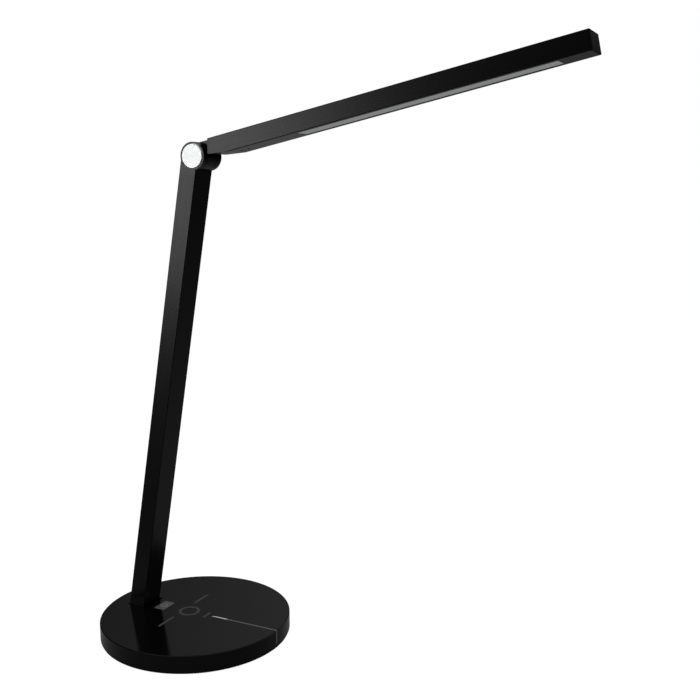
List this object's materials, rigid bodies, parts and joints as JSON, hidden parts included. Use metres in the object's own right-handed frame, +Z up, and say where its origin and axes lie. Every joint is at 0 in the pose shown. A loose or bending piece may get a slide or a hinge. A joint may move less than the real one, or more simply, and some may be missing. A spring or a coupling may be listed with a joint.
{
  "type": "folding led desk lamp",
  "caption": "Folding LED desk lamp: round wireless-charging base with touch key, leaning rectangular stem on a tilting foot, and a slim light bar on a friction hinge.",
  "frame": {"origin": "centre of the round base, on the table", "axes": "+Z up, +X the way the light bar points, both hinge axes along Y"},
  "size_m": [0.4601, 0.182, 0.5367],
  "materials": {
    "black_abs": "semi-gloss moulded",
    "black_aluminium": "black anodised, satin",
    "black_casting": "die cast, black satin paint",
    "black_plastic": "fine-textured moulded",
    "silver_cap": "bright satin",
    "steel": "zinc plated",
    "dark_screw": "black oxide",
    "ballast_iron": "as cast",
    "pad_rubber": "matt foam rubber",
    "mark_silicone": "satin silicone",
    "key_acrylic": "grey printed acrylic",
    "guide_acrylic": "clear acrylic",
    "copper": "enamelled copper wire",
    "ferrite": "pressed ferrite sheet",
    "circuit_board": "solder mask",
    "chips": "moulded packages",
    "led_white": "phosphor",
    "board_white": "white solder mask on aluminium",
    "tray_white": "white moulded",
    "diffuser_opal": "opal acrylic",
    "lead_sheath": "pvc sheath"
  },
  "bodies": {
    "base": {"base_cover": "black_abs", "base_plate": "steel", "ballast_disc": "ballast_iron", "anti_slip_pad": "pad_rubber", "base_screws": "steel", "charging_coil": "copper", "ferrite_sheet": "ferrite", "charging_mark": "mark_silicone", "touch_key": "key_acrylic", "touch_sensor_board": "circuit_board", "control_board": "circuit_board", "board_components": "chips", "board_screws": "steel", "indicator_led": "led_white", "indicator_light_guide": "guide_acrylic", "power_socket": "black_plastic", "foot_bracket": "steel", "foot_rivets": "steel", "foot_pin": "steel", "foot_pin_nut": "steel", "foot_washers": "steel"},
    "stem": {"stem_foot": "black_casting", "stem_tube": "black_aluminium", "stem_yoke": "black_casting", "stem_screws": "dark_screw", "stem_lead": "lead_sheath", "hinge_bolt": "steel", "hinge_spring_washer": "steel", "hinge_nut": "steel", "friction_washers": "steel", "hinge_cap_near": "silver_cap", "hinge_cap_far": "silver_cap"},
    "light_bar": {"bar_knuckle": "black_casting", "bar_set_screws": "dark_screw", "bar_housing": "black_aluminium", "bar_tip_cap": "black_plastic", "led_board": "board_white", "leds": "led_white", "reflector_tray": "tray_white", "diffuser": "diffuser_opal", "bar_lead": "lead_sheath"}
  },
  "joints": [
    {"name": "stem_tilt", "type": "hinge", "parent": "base", "child": "stem", "pos_m": [-0.06328, 0, 0.00975], "axis": [0, 1, 0], "range_deg": [-10, 15]},
    {"name": "bar_fold", "type": "hinge", "parent": "stem", "child": "light_bar", "pos_m": [0.02031, 0, 0.45313], "axis": [0, -1, 0], "range_deg": [-85, 68]}
  ]
}
